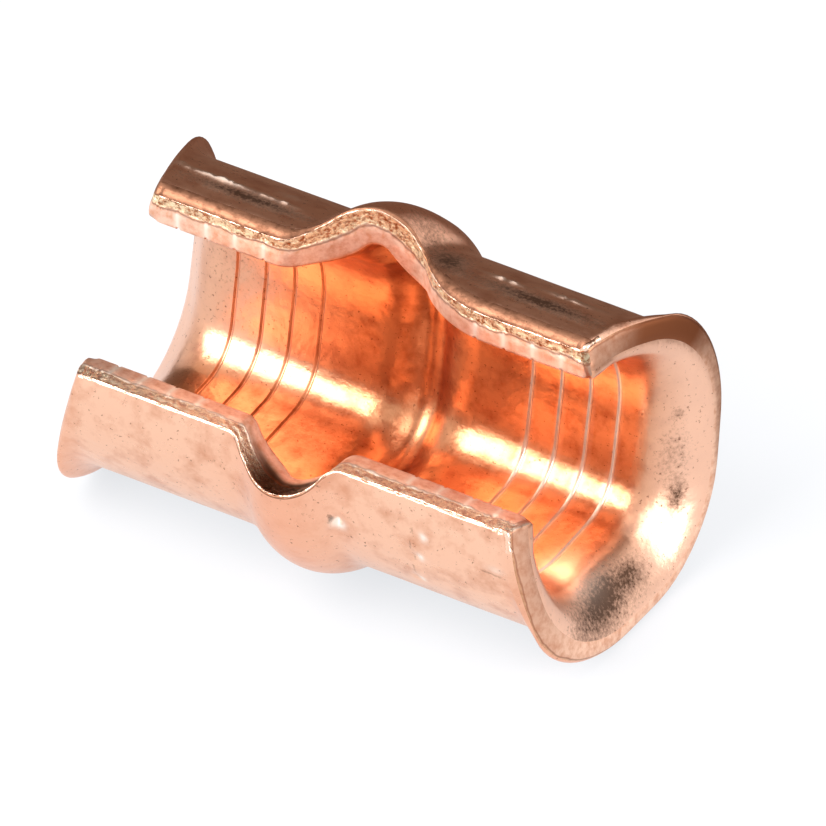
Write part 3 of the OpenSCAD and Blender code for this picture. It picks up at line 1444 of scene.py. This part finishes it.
@dataclass(frozen=True)
class Studio:
    """White floor and surround, soft lamps, dark cards behind, and the camera."""

    azimuth: float = 29.06
    elevation: float = 38.74
    roll: float = 1.17
    distance: float = 1.078
    mm_per_pixel: float = 0.0433
    # Pixel of the bore's middle in the image
    centre_px: tuple[float, float] = (369.9, 391.4)
    sensor_mm: float = 36.0
    floor_reach: float = 3.0
    floor_colour: str = "#757372"
    floor_glow_colour: str = "#f6f9fd"
    floor_glow: float = 0.8
    world_light: float = 0.75
    lamps: tuple[Softbox, ...] = (
        Softbox("key softbox", (-0.37, -0.66, 0.65), 0.32, 0.2, 0.3, 9.0),
        Softbox("side softbox", (0.89, -0.02, 0.38), 0.36, 0.28, 0.3, 3.4),
        Softbox("top softbox", (0.25, -0.1, 1.0), 0.5, 0.2, 0.2, 0.9),
    )
    card_colour: str = "#6e5546"
    # Lowest and highest corner of each dark card: one on the floor and two upright, behind
    cards: tuple[tuple[Point, Point], ...] = (
        ((-0.5, 0.013, -0.008), (0.06, 0.3, -0.008)),
        ((-0.5, 0.3, -0.008), (0.05, 0.3, 0.5)),
        ((0.05, 0.3, 0.17), (0.3, 0.3, 0.5)),
    )

    def build(self) -> None:
        """Builds the whole studio."""
        bpy.context.scene.view_settings.view_transform = "Standard"
        self.build_world()
        self.build_floor()
        self.build_cards()
        for lamp in self.lamps:
            lamp.build()
        self.build_camera()

    @staticmethod
    def seen(tree: bpy.types.NodeTree) -> bpy.types.NodeSocket:
        """Adds the nodes that pick out camera, glossy and transmission rays.

        Rays that come off the matt floor are left out, so that the copper doesn't tint its shadow.

        Args:
            tree: The node tree to add them to.

        Returns:
            A value of 1 for those rays and 0 for the rest.
        """
        rays = add_node(tree, "ShaderNodeLightPath").outputs
        mirrored = add_node(
            tree, "ShaderNodeMath", {0: rays["Is Camera Ray"], 1: rays["Is Glossy Ray"]}, operation="MAXIMUM"
        )
        through = add_node(
            tree,
            "ShaderNodeMath",
            {0: mirrored.outputs[0], 1: rays["Is Transmission Ray"]},
            operation="MAXIMUM",
        )
        off_floor = add_node(
            tree, "ShaderNodeMath", {0: rays["Diffuse Depth"], 1: 0.5}, operation="LESS_THAN"
        )
        direct = add_node(
            tree, "ShaderNodeMath", {0: through.outputs[0], 1: off_floor.outputs[0]}, operation="MULTIPLY"
        )
        return direct.outputs[0]

    def build_world(self) -> None:
        """Makes the surround white where it is seen, and softer as a light."""
        world = bpy.data.worlds.new("white surround")
        bpy.context.scene.world = world
        world.use_nodes = True
        tree = world.node_tree
        background = tree.nodes["Background"]
        background.inputs["Color"].default_value = (1.0, 1.0, 1.0, 1.0)
        strength = add_node(
            tree,
            "ShaderNodeMapRange",
            {0: self.seen(tree), 1: 0.0, 2: 1.0, 3: self.world_light, 4: 1.0},
        )
        tree.links.new(strength.outputs[0], background.inputs["Strength"])

    def build_floor(self) -> None:
        """Lays a matt white floor under the connector, which keeps its shadow."""
        material = bpy.data.materials.new("matt white floor")
        material.use_nodes = True
        tree = material.node_tree
        shader = tree.nodes["Principled BSDF"]
        shader.inputs["Base Color"].default_value = linear(self.floor_colour)
        shader.inputs["Roughness"].default_value = 0.9
        shader.inputs["Specular IOR Level"].default_value = 0.0
        shader.inputs["Emission Color"].default_value = linear(self.floor_glow_colour)
        glow = add_node(
            tree, "ShaderNodeMath", {0: self.seen(tree), 1: self.floor_glow}, operation="MULTIPLY"
        )
        tree.links.new(glow.outputs[0], shader.inputs["Emission Strength"])
        level = CAD_BOX[0][2]
        reach = self.floor_reach
        sides = ((-1, -1), (1, -1), (1, 1), (-1, 1))
        corners = [(reach * side_x, reach * side_y, level) for side_x, side_y in sides]
        self.sheet("floor", corners, material)

    def build_cards(self) -> None:
        """Sets dark cards behind the connector, for its upper faces to reflect."""
        material = bpy.data.materials.new("dark card")
        material.use_nodes = True
        shader = material.node_tree.nodes["Principled BSDF"]
        shader.inputs["Base Color"].default_value = (0.0, 0.0, 0.0, 1.0)
        shader.inputs["Specular IOR Level"].default_value = 0.0
        shader.inputs["Emission Color"].default_value = linear(self.card_colour)
        shader.inputs["Emission Strength"].default_value = 1.0
        for i, (low, high) in enumerate(self.cards):
            corners = [low, (high[0], low[1], low[2]), high, (low[0], high[1], high[2])]
            card = self.sheet(f"dark card {i + 1}", corners, material)
            card.visible_camera = False
            card.visible_diffuse = False
            card.visible_shadow = False

    @staticmethod
    def sheet(name: str, corners: list[Point], material: bpy.types.Material) -> bpy.types.Object:
        """Makes a flat sheet of four corners.

        Args:
            name: The sheet's name.
            corners: Its corners in order.
            material: Its finish.

        Returns:
            The sheet's object.
        """
        mesh = bpy.data.meshes.new(name)
        mesh.from_pydata(corners, [], [(0, 1, 2, 3)])
        mesh.materials.append(material)
        return add_object(name.replace(" ", "_"), mesh)

    def build_camera(self) -> None:
        """Sets the camera at the photograph's angle and framing."""
        azimuth = math.radians(self.azimuth)
        elevation = math.radians(self.elevation)
        right = Vector((math.cos(azimuth), math.sin(azimuth), 0))
        back = Vector(
            (
                math.cos(elevation) * math.sin(azimuth),
                -math.cos(elevation) * math.cos(azimuth),
                math.sin(elevation),
            )
        )
        level = Matrix((right, back.cross(right), back)).transposed().to_4x4()
        turn = level @ Matrix.Rotation(math.radians(self.roll), 4, "Z")
        turn.translation = back * self.distance
        camera = bpy.data.cameras.new("camera")
        camera.sensor_width = self.sensor_mm
        camera.lens = self.sensor_mm * self.distance / (IMAGE_PX * self.mm_per_pixel * MM)
        camera.clip_start = 0.01
        camera.shift_x = 0.5 - self.centre_px[0] / IMAGE_PX
        camera.shift_y = self.centre_px[1] / IMAGE_PX - 0.5
        holder = add_object("camera", camera)
        holder.matrix_world = turn
        bpy.context.scene.camera = holder


def main() -> None:
    """Builds the connector and its studio."""
    barrel = Barrel()
    body = barrel.build()
    barrel.dress(body)
    LOG.info("%s: %d faces", body.name, len(body.data.polygons))
    finish = BURR_COPPER.build()
    for rim in Rim:
        burr = RimBurr(rim).build(barrel, finish)
        RimBurr.dress(burr)
        LOG.info("%s: %d faces", burr.name, len(burr.data.polygons))
    Studio().build()


if __name__ == "__main__":
    logging.basicConfig(level=logging.INFO, format="%(name)s: %(message)s")
    main()
